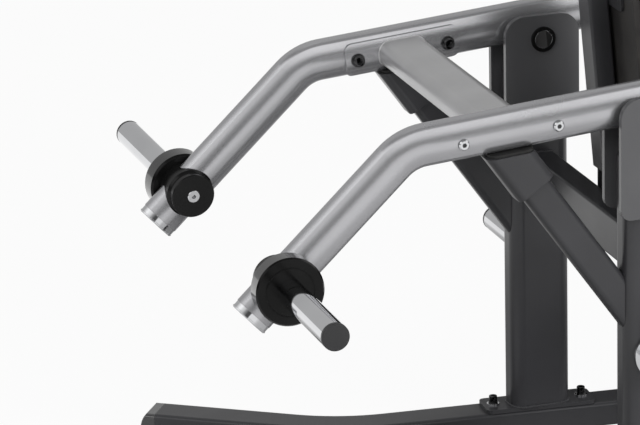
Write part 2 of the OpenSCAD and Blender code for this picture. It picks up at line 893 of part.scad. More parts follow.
module pin_barrel() {
    color(chrome) pin_place(column_w / 2) difference() {
        union() {
            cylinder(d = barrel_d * 1.25, h = barrel_hex_h, $fn = 6);
            disc(barrel_d, barrel_hex_h, barrel_len);
        }
        disc(pin_d + 2 * run_gap, -1, barrel_len + 1);
    }
}

module lock_pin() {
    nose = column_w / 2 - column_wall - slide_gap - column_wall - pin_nose;
    knob = column_w / 2 + barrel_len + swivel_gap;
    color(black) pin_place(0) {
        disc(pin_d, nose, knob);
        capped(knob_d, knob, knob + knob_len, knob_edge);
    }
}

// Arms

module arm() {
    at_arm_start = reach_tip - tip_len;
    color(arm_grey) difference() {
        at_lower(at_arm_start) run([
            [at_arm_start - arm_tangent, -arm_bend, elbow_r],
            [upper_len, -rear_bend, elbow_r],
            [rear_len - rear_tangent, 0, 0]]) arm_section();
        at_pivot() disc(hub_d, -arm_w, arm_w);
        at_horn() disc(boss_d, -arm_w, arm_w);
        at_saddle_bolts() {
            disc(saddle_bolt_d + bolt_play, -arm_w, arm_w);
            disc(nut_d + 1, -arm_w, seat_depth - arm_w / 2);
        }
    }
}

module arm_left() { arm(); }
module arm_right() { sided(-1) arm(); }

module pivot_hubs() {
    color(arm_grey) both() at_pivot()
        tube(hub_d, shaft_d + 2 * (run_gap + bush_wall), -hub_len / 2, hub_len / 2);
}

module pivot_bush() {
    bore = shaft_d + 2 * run_gap;
    tube(bore + 2 * bush_wall, bore, hub_len / 2 - bush_len, hub_len / 2);
    tube(hub_d - 2, bore, hub_len / 2, hub_len / 2 + bush_collar_t);
}

module pivot_bushes() {
    color([0.7, 0.55, 0.3]) both() at_pivot() {
        pivot_bush();
        mirror([0, 0, 1]) pivot_bush();
    }
}

// Crossbeam's frame: origin in the arm's centre plane at the beam's middle
module at_beam() {
    at_arm() translate([-beam_x, 0, -beam_below]) children();
}

module at_saddle_bolts() {
    for (x = [-1, 1]) at_beam() translate([x * saddle_bolt_pitch / 2, 0, 0])
        rotate([90, 0, 0]) children();
}

// Beam with its ends cut to the saddle plates
module crossbeam() {
    color(beam_grey) difference() {
        at_beam() rotate([90, 0, 0]) linear_extrude(arm_spacing)
            ring_section(beam_w, beam_h, beam_r, beam_wall);
        both() at_beam() translate([-saddle_len / 2, 0, beam_below]) along_x(saddle_len)
            oval(saddle_t);
    }
}

// Plate bent round the arm's inner side, cut to a window with round corners
module saddle_plates() {
    color(arm_grey) both() difference() {
        intersection() {
            at_beam() translate([-saddle_len / 2, 0, beam_below]) along_x(saddle_len)
                oval(saddle_t);
            at_beam() translate([0, -arm_w * 0.15, 0]) rotate([90, 0, 0])
                linear_extrude(arm_w) rounded(saddle_len, saddle_h, saddle_corner);
        }
        at_beam() translate([-saddle_len, 0, beam_below]) along_x(2 * saddle_len) oval();
        at_saddle_bolts() {
            disc(saddle_bolt_d + bolt_play, 0, arm_w);
            disc(head_d + 1, saddle_y - seat_depth, arm_w);
        }
    }
}

// Bolts in from the middle of the machine: socket head, flange and shank
module saddle_bolts() {
    socket = saddle_bolt_d * 0.8;
    color(black) both() at_saddle_bolts() difference() {
        union() {
            disc(saddle_bolt_d, -arm_w / 2 - nut_h + 1, saddle_y);
            disc(head_d, saddle_y - seat_depth, saddle_y + head_flange_h);
            capped(head_d - 4, saddle_y + head_flange_h, saddle_y + cap_head_h, bevel);
        }
        translate([0, 0, saddle_y + cap_head_h - socket_depth])
            cylinder(d = socket, h = socket_depth + 1, $fn = 6);
    }
}

// Bright round nuts on the outside of the arms
module saddle_nuts() {
    color(chrome) both() at_saddle_bolts() mirror([0, 0, 1]) difference() {
        capped(nut_d, arm_w / 2 - seat_depth, arm_w / 2 + nut_h, 2);
        disc(saddle_bolt_d, 0, arm_w / 2 + nut_h - 1);
        translate([0, 0, arm_w / 2 + nut_h - 1]) cylinder(d = key_d, h = 2, $fn = 6);
    }
}

module arm_tip_rings() {
    color(chrome) both() at_lower(reach_tip - tip_cap_len) along_x(tip_ring_len)
        oval(-1);
}

// Cap with a chamfer made of two steps of the oval
module arm_tip_caps() {
    steps = 4;
    color(chrome) both() at_lower(reach_tip) for (k = [0 : steps]) {
        inset = tip_chamfer * (1 - k / steps);
        x0 = tip_chamfer * k / steps;
        x1 = k < steps ? tip_chamfer * (k + 1) / steps : tip_cap_len;
        translate([x0, 0, 0]) along_x(x1 - x0) oval(-inset);
    }
}

// Weight horns

module horn_bosses() {
    rim = boss_d / 2;
    end = boss_end_d / 2;
    color(black) both() at_horn() difference() {
        rotate_extrude() polygon([
            [0, flange_face - flange_t], [rim, flange_face - flange_t], [rim, -boss_shoulder],
            [end, end - rim - boss_shoulder], [end, bevel - boss_in], [end - bevel, -boss_in],
            [0, -boss_in]]);
        disc(boss_screw_d, -boss_in - 1, 0);
    }
}

module horn_flanges() {
    rim = flange_d / 2;
    back = flange_face - flange_t;
    step = flange_face - flange_rim;
    color(black) both() {
        difference() {
            at_horn() rotate_extrude() polygon([
                [0, back], [rim - flange_back_edge, back], [rim, back + flange_back_edge],
                [rim, step - flange_edge], [rim - flange_edge, step], [0, step]]);
            at_lower(reach_tip) along_x(reach_tip) oval();
        }
        at_horn() {
            tube(ring_step_d, ring_step_d - 2 * groove_r, step - step_bite, flange_face);
            disc(ring_step_d - 2 * groove_r, step - step_bite, flange_face - 1);
        }
    }
}

module weight_horns() {
    color(chrome) both() at_horn() disc(horn_d, flange_face - 1, horn_reach - horn_cap_len);
}

module weight_horn_caps() {
    color(black) both() at_horn() capped(horn_d, horn_reach - horn_cap_len, horn_reach, bevel);
}

module boss_screws() {
    color(chrome) both() at_horn() mirror([0, 0, 1]) difference() {
        union() {
            capped(boss_screw_head_d, boss_in, boss_in + boss_screw_head_t, 1);
            disc(boss_screw_d, boss_in - boss_screw_len, boss_in);
        }
        translate([0, 0, boss_in - key_d / 3])
            cylinder(d = key_d, h = boss_screw_head_t + key_d / 2, $fn = 6);
    }
}

// Handles

module swivel_shafts() {
    end = swivel_gap + swivel_len + swivel_gap;
    color(chrome) both() at_handle() {
        translate([-plug_len, 0, 0]) along_x(plug_len) oval(-arm_wall);
        rotate([0, 90, 0]) {
            disc(swivel_d, 0, end);
            capped(swivel_od, end, end + swivel_cap_t, 2);
        }
    }
}

// Bar's frame: origin where the straight part under the grip starts
module at_grip() {
    at_handle() translate([swivel_len / 2 + bar_bend_r, -grip_offset, 0]) children();
}

module handle() {
    color(arm_grey) {
        at_handle() rotate([0, 90, 0])
            tube(swivel_od, swivel_d + 2 * run_gap, swivel_gap, swivel_gap + swivel_len);
        at_handle() difference() {
            translate([swivel_len / 2, 0, 0]) rotate([0, 0, -90]) rotate([-90, 0, 0])
                run([[grip_offset - bar_bend_r, 90, bar_bend_r], [bar_len, 0, 0]])
                    circle(d = bar_d);
            rotate([0, 90, 0]) disc(swivel_od - 2, 0, swivel_len + 1);
        }
    }
}

module handle_left() { handle(); }
module handle_right() { sided(-1) handle(); }

module grip() {
    color(rubber) at_grip() rotate([0, 90, 0]) tube(grip_d, bar_d, grip_start, grip_start + grip_len);
}

module grip_left() { grip(); }
module grip_right() { sided(-1) grip(); }

// Bright collars: a ring before the grip and a closed cap after it
module grip_collars() {
    end = bar_len;
    color(chrome) at_grip() rotate([0, 90, 0]) {
        tube(collar_d, bar_d, grip_start - collar_len, grip_start);
        tube(collar_d, bar_d, grip_start + grip_len, end);
        capped(collar_d, end, end + grip_cap_t, 2);
    }
}

module grip_collars_left() { grip_collars(); }
module grip_collars_right() { sided(-1) grip_collars(); }

base_tube_left();
base_tube_right();
front_cross_tube();
rear_cross_tube();
middle_rail();
base_caps();
rubber_feet();
foot_plate_left();
foot_plate_right();
foot_bolts();
foot_washers();
post_left();
post_right();
clevis_plates_left();
clevis_plates_right();
stop_strut_left();
stop_strut_right();
strut_head_left();
strut_head_right();
stop_pads();
pivot_shafts();
pivot_rings();
storage_horns();
storage_horn_caps();
tie_tube();
back_upright();
upright_caps();
back_brackets();
back_board();
back_cushion();
back_screws();
column_sleeve();
pin_barrel();
arm_left();
arm_right();
pivot_hubs();
pivot_bushes();
crossbeam();
saddle_plates();
saddle_bolts();
saddle_nuts();
arm_tip_rings();
arm_tip_caps();
horn_bosses();
horn_flanges();
weight_horns();
weight_horn_caps();
boss_screws();
swivel_shafts();
handle_left();
handle_right();
grip_left();
grip_right();
grip_collars_left();
grip_collars_right();
seat_tube();
seat_plate();
seat_board();
seat_cushion();
lock_pin();
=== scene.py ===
import math

import bmesh
import bpy
import numpy as np
from mathutils import Matrix, Vector
from mathutils.bvhtree import BVHTree


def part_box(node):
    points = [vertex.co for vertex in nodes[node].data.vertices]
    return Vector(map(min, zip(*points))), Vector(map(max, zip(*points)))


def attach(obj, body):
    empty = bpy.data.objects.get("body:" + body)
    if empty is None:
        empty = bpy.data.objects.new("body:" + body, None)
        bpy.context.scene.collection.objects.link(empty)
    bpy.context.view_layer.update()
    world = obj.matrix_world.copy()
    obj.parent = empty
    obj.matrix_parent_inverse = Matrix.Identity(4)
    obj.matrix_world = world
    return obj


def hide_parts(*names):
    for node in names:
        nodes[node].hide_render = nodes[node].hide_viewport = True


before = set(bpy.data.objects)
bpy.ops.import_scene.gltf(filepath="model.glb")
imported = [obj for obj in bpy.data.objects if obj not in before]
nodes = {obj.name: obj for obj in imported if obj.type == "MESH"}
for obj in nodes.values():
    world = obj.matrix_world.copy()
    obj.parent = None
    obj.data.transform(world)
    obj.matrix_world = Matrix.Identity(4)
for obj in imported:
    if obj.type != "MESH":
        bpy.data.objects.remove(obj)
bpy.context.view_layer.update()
print("frame loaded:", len(nodes), "parts")


# camera
cameraView = {
    "place": (-2.9383, -7.4592, 3.1736),
    "yaw": 17.8504,  # degrees from +Y towards +X
    "down": 18.0390,
    "roll": -1.3480,
    "lens": 251.496,
    "sensor": 36,
}


def makeCamera(view):
    yaw, down, roll = (math.radians(view[k]) for k in ("yaw", "down", "roll"))
    look = Vector((math.sin(yaw) * math.cos(down), math.cos(yaw) * math.cos(down), -math.sin(down)))
    side = Vector((math.cos(yaw), -math.sin(yaw), 0))
    up = side.cross(look)
    right = side * math.cos(roll) + up * math.sin(roll)
    up = up * math.cos(roll) - side * math.sin(roll)
    turn = Matrix((right, up, -look)).transposed().to_4x4()
    data = bpy.data.cameras.new("photoCamera")
    data.lens = view["lens"]
    data.sensor_width = view["sensor"]
    camera = bpy.data.objects.new("photoCamera", data)
    camera.matrix_world = Matrix.Translation(view["place"]) @ turn
    bpy.context.scene.collection.objects.link(camera)
    bpy.context.scene.camera = camera


makeCamera(cameraView)
bpy.context.scene.view_settings.view_transform = "Standard"
print("camera set")


# one socket of a node tree, so that shader sums can be written as plain sums
class Wire:
    def __init__(self, tree, socket=None):
        self.tree = tree
        self.socket = socket

    # adds any node: its settings first, then the values or links of its sockets
    def node(self, kind, settings=None, sockets=None, out=0):
        made = self.tree.nodes.new("ShaderNode" + kind)
        for name, value in (settings or {}).items():
            if name == "stops":
                ends = made.color_ramp.elements
                (ends[0].position, first), (ends[1].position, last) = value[0], value[-1]
                ends[0].color = (*first, 1)
                ends[1].color = (*last, 1)
                for place, shade in value[1:-1]:
                    ends.new(place).color = (*shade, 1)
            else:
                setattr(made, name, value)
        for name, value in (sockets or {}).items():
            if isinstance(value, Wire):
                self.tree.links.new(value.socket, made.inputs[name])
            else:
                made.inputs[name].default_value = value
        return Wire(self.tree, made.outputs[out] if made.outputs else None)

    def sum(self, operation, first, second):
        return self.node("Math", {"operation": operation}, {0: first, 1: second})

    def __add__(self, other):
        return self.sum("ADD", self, other)

    def __radd__(self, other):
        return self.sum("ADD", other, self)

    def __sub__(self, other):
        return self.sum("SUBTRACT", self, other)

    def __rsub__(self, other):
        return self.sum("SUBTRACT", other, self)

    def __mul__(self, other):
        return self.sum("MULTIPLY", self, other)

    def __rmul__(self, other):
        return self.sum("MULTIPLY", other, self)


def mixColours(factor, first, second):
    return factor.node("Mix", {"data_type": "RGBA"}, {0: factor, 6: first, 7: second}, 2)


# maps a value from one range to 0..1, held at both ends
def share(value, low, high):
    return value.node("MapRange", {}, {"Value": value, "From Min": low, "From Max": high})


# a new material with an empty tree, and the tree's first wire
def startMaterial(name):
    material = bpy.data.materials.new(name)
    material.use_nodes = True
    material.node_tree.nodes.clear()
    return material, Wire(material.node_tree)


# studio
studio = {
    "floorSize": 40,
    "floorColour": (0.55, 0.55, 0.55, 1),
    "floorGlow": 0.94,  # share of plain white that the camera sees
    "shadeReach": (1.15, 1.7),  # metres over which the mirrored floor turns from lit to plain white
    # brightness of the room on the camera's side, by height of the direction from -1 to 1
    "room": [
        (-1.0, 0.25), (0.0, 0.10), (0.12, 0.10), (0.24, 0.42), (0.36, 1.1), (0.62, 1.3),
        (0.73, 0.95), (0.79, 0.22), (0.94, 0.22), (1.0, 0.6)],
    "backdrop": 0.50,  # brightness of the wall behind
    "turn": (-0.15, 0.35),  # where the room gives way to that wall, along +Y
    # corners of a black panel that only mirrors see, upright at the far right
    "flag": [(1.25, 3.9, 0.0), (4.5, 3.4, 0.0), (4.5, 3.4, 3.0), (1.25, 3.9, 3.0)],
    "flagColour": (0.01, 0.01, 0.01, 1),
    "lamps": [
        # name, place, target, size, power
        ("keyLamp", (-3.6, -2.4, 3.6), (-0.3, 0, 0.7), 3.0, 90),
        ("fillLamp", (2.5, -5.0, 2.4), (0, 0, 0.6), 3.5, 240),
    ],
}


def makeRoom(values):
    world = bpy.data.worlds.new("studioWorld")
    bpy.context.scene.world = world
    world.use_nodes = True
    tree = world.node_tree
    tree.nodes.clear()
    start = Wire(tree)
    direction = start.node("TexCoord")  # Generated is the direction in a world
    height = start.node("SeparateXYZ", {}, {0: direction}, 2) * 0.5 + 0.5
    depth = start.node("SeparateXYZ", {}, {0: direction}, 1)
    # the ramp runs from 0 to 1, so heights are halved and lifted
    stops = [(place / 2 + 0.5, (level,) * 3) for place, level in values["room"]]
    room = start.node("ValToRGB", {"stops": stops}, {0: height})
    around = mixColours(share(depth, *values["turn"]), room, (*(values["backdrop"],) * 3, 1))
    seen = mixColours(start.node("LightPath"), around, (1, 1, 1, 1))
    light = start.node("Background", {}, {"Color": seen})
    start.node("OutputWorld", {}, {"Surface": light})


# one flat face through four corners
def addPanel(name, corners, material):
    mesh = bpy.data.meshes.new(name)
    mesh.from_pydata(corners, [], [(0, 1, 2, 3)])
    mesh.materials.append(material)
    panel = bpy.data.objects.new(name, mesh)
    bpy.context.scene.collection.objects.link(panel)
    return panel


def makeFloor(values):
    material, start = startMaterial("paleFloor")
    lit = start.node("BsdfDiffuse", {}, {"Color": values["floorColour"]})
    white = start.node("Emission", {}, {"Color": (1, 1, 1, 1), "Strength": 1.0})
    place = start.node("TexCoord", {}, {}, "Object")
    distance = start.node("VectorMath", {"operation": "LENGTH"}, {0: place}, 1)
    away = share(distance, *values["shadeReach"])
    mirrored = start.node("LightPath", {}, {}, "Is Glossy Ray")
    factor = start.node("LightPath") * values["floorGlow"] + mirrored * away
    both = start.node("MixShader", {}, {0: factor, 1: lit, 2: white})
    start.node("OutputMaterial", {}, {"Surface": both})
    size = values["floorSize"] / 2
    corners = [(-size, -size, 0), (size, -size, 0), (size, size, 0), (-size, size, 0)]
    floor = addPanel("floor", corners, material)


def makeFlag(values):
    material, start = startMaterial("blackCloth")
    dull = start.node("BsdfDiffuse", {}, {"Color": values["flagColour"]})
    start.node("OutputMaterial", {}, {"Surface": dull})
    flag = addPanel("blackFlag", values["flag"], material)
    flag.visible_camera = flag.visible_diffuse = flag.visible_shadow = False


def makeStudio(values):
    makeRoom(values)
    makeFloor(values)
    makeFlag(values)
    for name, place, target, size, power in values["lamps"]:
        data = bpy.data.lights.new(name, "AREA")
        data.shape = "DISK"
        data.size = size
        data.energy = power
        lamp = bpy.data.objects.new(name, data)
        lamp.location = place
        lamp.rotation_mode = "QUATERNION"
        lamp.rotation_quaternion = (Vector(target) - Vector(place)).to_track_quat("-Z", "Y")
        lamp.visible_glossy = False
        bpy.context.scene.collection.objects.link(lamp)


makeStudio(studio)
print("studio lit")


# two colours that mix, roughness and its spread, texture scales per metre, bump heights and edges in metres
finishes = {
    "satinSilver": {
        "base": (0.50, 0.50, 0.515), "shade": (0.455, 0.455, 0.47), "metal": 0.85, "specular": 0.5,
        "rough": 0.25, "spread": 0.05, "mottle": 5, "grain": 1500, "peel": 260, "peelHeight": 0.00002,
        "coat": 0.1, "coatRough": 0.15, "edge": 0.0008,
    },
    "beamGrey": {
        "base": (0.53, 0.53, 0.535), "shade": (0.47, 0.47, 0.475), "metal": 0.7, "specular": 0.4,
        "rough": 0.36, "spread": 0.05, "mottle": 7, "grain": 1300, "peel": 320, "peelHeight": 0.00003,
        "coat": 0.1, "coatRough": 0.2, "edge": 0.0008,
    },
    "frameBlack": {
        "base": (0.034, 0.034, 0.037), "shade": (0.027, 0.027, 0.029), "metal": 0.0, "specular": 0.4,
        "rough": 0.32, "spread": 0.07, "mottle": 6, "grain": 900, "peel": 420, "peelHeight": 0.00004,
        "coat": 0.1, "coatRough": 0.14, "edge": 0.0014,
    },
    # the frame's black paint made lighter for the clevis plates: painted light, where these plates catch
    # more light
    "plateBlackPaintedLight": {
        "base": (0.072, 0.072, 0.075), "shade": (0.062, 0.062, 0.065), "metal": 0.0, "specular": 0.5,
        "rough": 0.26, "spread": 0.05, "mottle": 6, "grain": 900, "peel": 420, "peelHeight": 0.00003,
        "coat": 0.1, "coatRough": 0.14, "edge": 0.0014,
    },
    "hornBlack": {
        "base": (0.003, 0.003, 0.003), "shade": (0.006, 0.006, 0.006), "metal": 0.0, "specular": 0.15,
        "rough": 0.16, "spread": 0.05, "mottle": 14, "grain": 1200, "peel": 500, "peelHeight": 0.00002,
        "coat": 0.0, "coatRough": 0.09, "edge": 0.0012, "grazing": (0.15, 0.5),
    },
    "bossBlack": {
        "base": (0.004, 0.004, 0.004), "shade": (0.007, 0.007, 0.007), "metal": 0.0, "specular": 0.15,
        "rough": 0.20, "spread": 0.05, "mottle": 14, "grain": 1200, "peel": 500, "peelHeight": 0.00002,
        "coat": 0.12, "coatRough": 0.12, "edge": 0.0012,
    },
    "chrome": {
        "base": (0.70, 0.705, 0.72), "shade": (0.65, 0.655, 0.67), "metal": 1.0, "specular": 0.5,
        "rough": 0.04, "spread": 0.02, "mottle": 9, "grain": 1800, "peel": 60, "peelHeight": 0.00001,
        "coat": 0.0, "coatRough": 0.05, "edge": 0.0005,
    },
    "blackOxide": {
        "base": (0.030, 0.030, 0.031), "shade": (0.050, 0.050, 0.051), "metal": 1.0, "specular": 0.5,
        "rough": 0.08, "spread": 0.04, "mottle": 60, "grain": 2400, "peel": 900, "peelHeight": 0.00001,
        "coat": 0.6, "coatRough": 0.04, "edge": 0.0006,
    },
    "capPlastic": {
        "base": (0.020, 0.020, 0.021), "shade": (0.026, 0.026, 0.027), "metal": 0.0, "specular": 0.4,
        "rough": 0.42, "spread": 0.06, "mottle": 20, "grain": 1600, "peel": 1400, "peelHeight": 0.00005,
        "coat": 0.0, "coatRough": 0.2, "edge": 0.0010,
    },
    "glossyCap": {
        "base": (0.022, 0.022, 0.023), "shade": (0.018, 0.018, 0.019), "metal": 0.0, "specular": 1.0,
        "rough": 0.20, "spread": 0.05, "mottle": 20, "grain": 1600, "peel": 1400, "peelHeight": 0.00001,
        "coat": 1.0, "coatRough": 0.12, "edge": 0.0015,
    },
    "moulded": {
        "base": (0.013, 0.013, 0.013), "shade": (0.022, 0.022, 0.021), "metal": 0.0, "specular": 0.4,
        "rough": 0.66, "spread": 0.10, "mottle": 30, "grain": 2000, "peel": 700, "peelHeight": 0.00008,
        "coat": 0.0, "coatRough": 0.2, "edge": 0.0012,
    },
    "paintedBoard": {
        "base": (0.016, 0.015, 0.015), "shade": (0.030, 0.028, 0.026), "metal": 0.0, "specular": 0.4,
        "rough": 0.58, "spread": 0.12, "mottle": 18, "grain": 600, "peel": 180, "peelHeight": 0.00015,
        "coat": 0.0, "coatRough": 0.2, "edge": 0.0015,
    },
    "bronze": {
        "base": (0.50, 0.33, 0.15), "shade": (0.36, 0.23, 0.10), "metal": 1.0, "specular": 0.5,
        "rough": 0.34, "spread": 0.10, "mottle": 40, "grain": 1500, "peel": 500, "peelHeight": 0.00002,
        "coat": 0.0, "coatRough": 0.2, "edge": 0.0004,
    },
}

finishOf = {
    "satinSilver": ["arm_left", "arm_right", "pivot_hubs", "saddle_plates", "handle_left", "handle_right"],
    "beamGrey": ["crossbeam"],
    "frameBlack": [
        "base_tube_left", "base_tube_right", "front_cross_tube", "rear_cross_tube", "middle_rail",
        "foot_plate_left", "foot_plate_right", "post_left", "post_right", "stop_strut_left",
        "stop_strut_right", "strut_head_left", "strut_head_right", "tie_tube", "back_upright",
        "back_brackets", "column_sleeve", "seat_plate"],
    # clevis plates: the frame's black with painted light
    "plateBlackPaintedLight": ["clevis_plates_left", "clevis_plates_right"],
    "hornBlack": ["horn_flanges"],
    "bossBlack": ["horn_bosses", "pivot_rings"],
    "chrome": [
        "weight_horns", "storage_horns", "arm_tip_rings", "arm_tip_caps", "pivot_shafts", "swivel_shafts",
        "saddle_nuts", "boss_screws", "seat_tube", "pin_barrel", "grip_collars_left",
        "grip_collars_right", "back_screws", "foot_washers"],
    "blackOxide": ["saddle_bolts", "foot_bolts"],
    "glossyCap": ["base_caps"],
    "capPlastic": ["upright_caps", "storage_horn_caps", "weight_horn_caps", "lock_pin"],
    "moulded": ["rubber_feet", "stop_pads", "grip_left", "grip_right"],
    "paintedBoard": ["back_board", "seat_board"],
    "bronze": ["pivot_bushes"],
}

coating = {
    "broadShare": 0.75,  # of the unevenness, the rest is fine
    "unevenRange": (0.35, 0.65),
    "edgeSamples": 6,
}


# a coat of paint, plating or plastic: broad unevenness, fine grain, orange peel and eased edges
def makeFinish(name, look):
    material, start = startMaterial(name)
    place = start.node("TexCoord", {}, {}, "Object")
    broad = start.node("TexNoise", {}, {"Vector": place, "Scale": look["mottle"], "Detail": 3.0})
    fine = start.node("TexNoise", {}, {"Vector": place, "Scale": look["grain"], "Detail": 1.0})
    peel = start.node("TexNoise", {}, {"Vector": place, "Scale": look["peel"], "Detail": 2.0})
    broadShare = coating["broadShare"]
    uneven = share(broad * broadShare + fine * (1 - broadShare), *coating["unevenRange"])
    colour = mixColours(uneven, (*look["shade"], 1), (*look["base"], 1))
    rough = look["rough"] + look["spread"] * (0.5 - uneven) + look["spread"] * (fine - 0.5)
    eased = start.node("Bevel", {"samples": coating["edgeSamples"]}, {"Radius": look["edge"]})
    bump = start.node("Bump", {}, {
        "Strength": 1.0, "Distance": look["peelHeight"], "Height": peel, "Normal": eased})
    coat = look["coat"]
    if "grazing" in look:  # the gloss shows only on faces seen at a low angle
        coat = share(start.node("LayerWeight", {}, {"Blend": 0.5}, "Facing"), *look["grazing"])
    shader = start.node("BsdfPrincipled", {}, {
        "Base Color": colour, "Roughness": rough, "Metallic": look["metal"],
        "Specular IOR Level": look["specular"],
        "Coat Weight": coat, "Coat Roughness": look["coatRough"], "Normal": bump})
    start.node("OutputMaterial", {}, {"Surface": shader})
    return material


materials = {name: makeFinish(name, look) for name, look in finishes.items()}
for finish, names in finishOf.items():
    for name in names:
        nodes[name].data.materials.clear()
        nodes[name].data.materials.append(materials[finish])
print("finishes given to", sum(len(names) for names in finishOf.values()), "parts")


# vinyl and thread for the cushions
vinylLook = {
    "base": (0.016, 0.016, 0.017, 1),
    # painted shade: darker colour in the hollows between the grain's pebbles
    "creasePaintedShade": (0.009, 0.009, 0.010, 1),
    "worn": (0.034, 0.034, 0.036, 1),
    "grain": 420,
    "grainHeight": 0.00035,
    "wrinkle": 24,
    "wrinkleHeight": 0.0009,
    "wrinkleStrength": 0.5,
    "grainStrength": 0.8,
    "grainEdge": 0.22,  # distance from a grain's edge at which its top is reached
    "wearRange": (0.48, 0.72),
    "wearShare": 0.7,
    "rough": 0.46,
    "creaseRough": 0.12,  # added in the creases
    "wearShine": 0.10,  # taken off where it is worn
}

threadLook = {
    "dark": (0.03, 0.03, 0.032, 1),
    "light": (0.09, 0.09, 0.095, 1),
    "twist": 1800,
    "rough": 0.55,
    "spread": 0.3,
}


# grained vinyl with soft wrinkles, worn places and painted shade in the grain's hollows; height scales the
# grain's depth
def makeVinyl(name, look, height):
    material, start = startMaterial(name)
    place = start.node("TexCoord", {}, {}, "Object")
    cells = start.node("TexVoronoi", {"feature": "DISTANCE_TO_EDGE"}, {
        "Vector": place, "Scale": look["grain"]})
    soft = start.node("TexNoise", {}, {"Vector": place, "Scale": look["wrinkle"], "Detail": 4.0})
    pebble = share(cells, 0.0, look["grainEdge"])
    wear = share(soft, *look["wearRange"])
    smooth = mixColours(wear * look["wearShare"], look["base"], look["worn"])
    # painted shade in the grain's hollows, where the bump sinks the pebbles' edges
    colour = mixColours(pebble, look["creasePaintedShade"], smooth)
    rough = look["rough"] + look["creaseRough"] * (1 - pebble) - look["wearShine"] * wear
    folds = start.node("Bump", {}, {
        "Strength": look["wrinkleStrength"], "Distance": look["wrinkleHeight"], "Height": soft})
    bump = start.node("Bump", {}, {
        "Strength": look["grainStrength"], "Distance": look["grainHeight"] * height, "Height": pebble,
        "Normal": folds})
    shader = start.node("BsdfPrincipled", {}, {"Base Color": colour, "Roughness": rough, "Normal": bump})
    start.node("OutputMaterial", {}, {"Surface": shader})
    return material


def makeThread(look):
    material, start = startMaterial("stitchThread")
    place = start.node("TexCoord", {}, {}, "Object")
    twist = start.node("TexNoise", {}, {"Vector": place, "Scale": look["twist"], "Detail": 2.0})
    colour = mixColours(twist, look["dark"], look["light"])
    rough = look["rough"] + look["spread"] * twist
    shader = start.node("BsdfPrincipled", {}, {"Base Color": colour, "Roughness": rough})
    start.node("OutputMaterial", {}, {"Surface": shader})
    return material


vinyl = makeVinyl("blackVinyl", vinylLook, height=1.0)
pipingVinyl = makeVinyl("pipingVinyl", vinylLook, height=0.5)
thread = makeThread(threadLook)


# mesh helpers
def addObject(name, mesh, *finish):
    for material in finish:
        mesh.materials.append(material)
    piece = bpy.data.objects.new(name, mesh)
    bpy.context.scene.collection.objects.link(piece)
    return piece


def fromPoints(name, points, faces, *finish):
    mesh = bpy.data.meshes.new(name)
    mesh.from_pydata([tuple(p) for p in points], [], faces)
    mesh.validate()
    tidy = bmesh.new()
    tidy.from_mesh(mesh)
    bmesh.ops.remove_doubles(tidy, verts=tidy.verts, dist=1e-6)
    bmesh.ops.recalc_face_normals(tidy, faces=tidy.faces)
    tidy.to_mesh(mesh)
    tidy.free()
    return addObject(name, mesh, *finish)


# one ring of points after another becomes a band of faces
def bandFaces(faces, first, rings, count):
    for ring in range(rings - 1):
        for i in range(count):
            a, b = first + ring * count + i, first + ring * count + (i + 1) % count
            faces.append((a, b, b + count, a + count))


# flat ends on the first and last of those rings
def endFaces(faces, first, rings, count):
    faces.append(tuple(first + i for i in reversed(range(count))))
    faces.append(tuple(first + (rings - 1) * count + i for i in range(count)))


def smoothByAngle(piece, degrees):
    mesh = piece.data
    mesh.shade_smooth()
    mesh.set_sharp_from_angle(angle=math.radians(degrees))


# a line through points, as the object that Geometry Nodes follow
def makeLine(name, points, closed):
    curve = bpy.data.curves.new(name, "CURVE")
    curve.dimensions = "3D"
    spline = curve.splines.new("POLY")
    spline.points.add(len(points) - 1)
    for spot, point in zip(spline.points, points):
        spot.co = (*point, 1)
    spline.use_cyclic_u = closed
    line = bpy.data.objects.new(name, curve)
    bpy.context.scene.collection.objects.link(line)
    return line


def joinMeshes(name, meshes):
    whole = bmesh.new()
    for mesh in meshes:
        whole.from_mesh(mesh)
    joined = bpy.data.meshes.new(name)
    whole.to_mesh(joined)
    whole.free()
    for material in meshes[0].materials:
        joined.materials.append(material)
    return joined


# repeats by Geometry Nodes
def newTree(name, floats):
    tree = bpy.data.node_groups.new(name, "GeometryNodeTree")
    face = tree.interface
    face.new_socket("Line", in_out="INPUT", socket_type="NodeSocketGeometry")
    for label in floats:
        face.new_socket(label, in_out="INPUT", socket_type="NodeSocketFloat")
    face.new_socket("Finish", in_out="INPUT", socket_type="NodeSocketMaterial")
    face.new_socket("Result", in_out="OUTPUT", socket_type="NodeSocketGeometry")
    return tree


# adds one geometry node, with its settings and the values or links of its sockets
def geometryNode(tree, kind, settings=None, sockets=None):
    made = tree.nodes.new(kind)
    for name, value in (settings or {}).items():
        setattr(made, name, value)
    for name, value in (sockets or {}).items():
        if isinstance(value, bpy.types.NodeSocket):
            tree.links.new(value, made.inputs[name])
        else:
            made.inputs[name].default_value = value
    return made


# what both trees end with: plain geometry, smooth, in the given finish
def endTree(tree, given, placed):
    real = geometryNode(tree, "GeometryNodeRealizeInstances", {}, {"Geometry": placed.outputs[0]})
    smooth = geometryNode(tree, "GeometryNodeSetShadeSmooth", {}, {"Geometry": real.outputs[0]})
    done = geometryNode(tree, "GeometryNodeSetMaterial", {}, {
        "Geometry": smooth.outputs[0], "Material": given["Finish"]})
    geometryNode(tree, "NodeGroupOutput", {}, {"Result": done.outputs[0]})


repeatValues = {
    "ball": {"Segments": 8, "Rings": 6, "Radius": 0.5},
    "seed": 7,
    "ringSteps": 40,
    "ribSteps": 8,
}


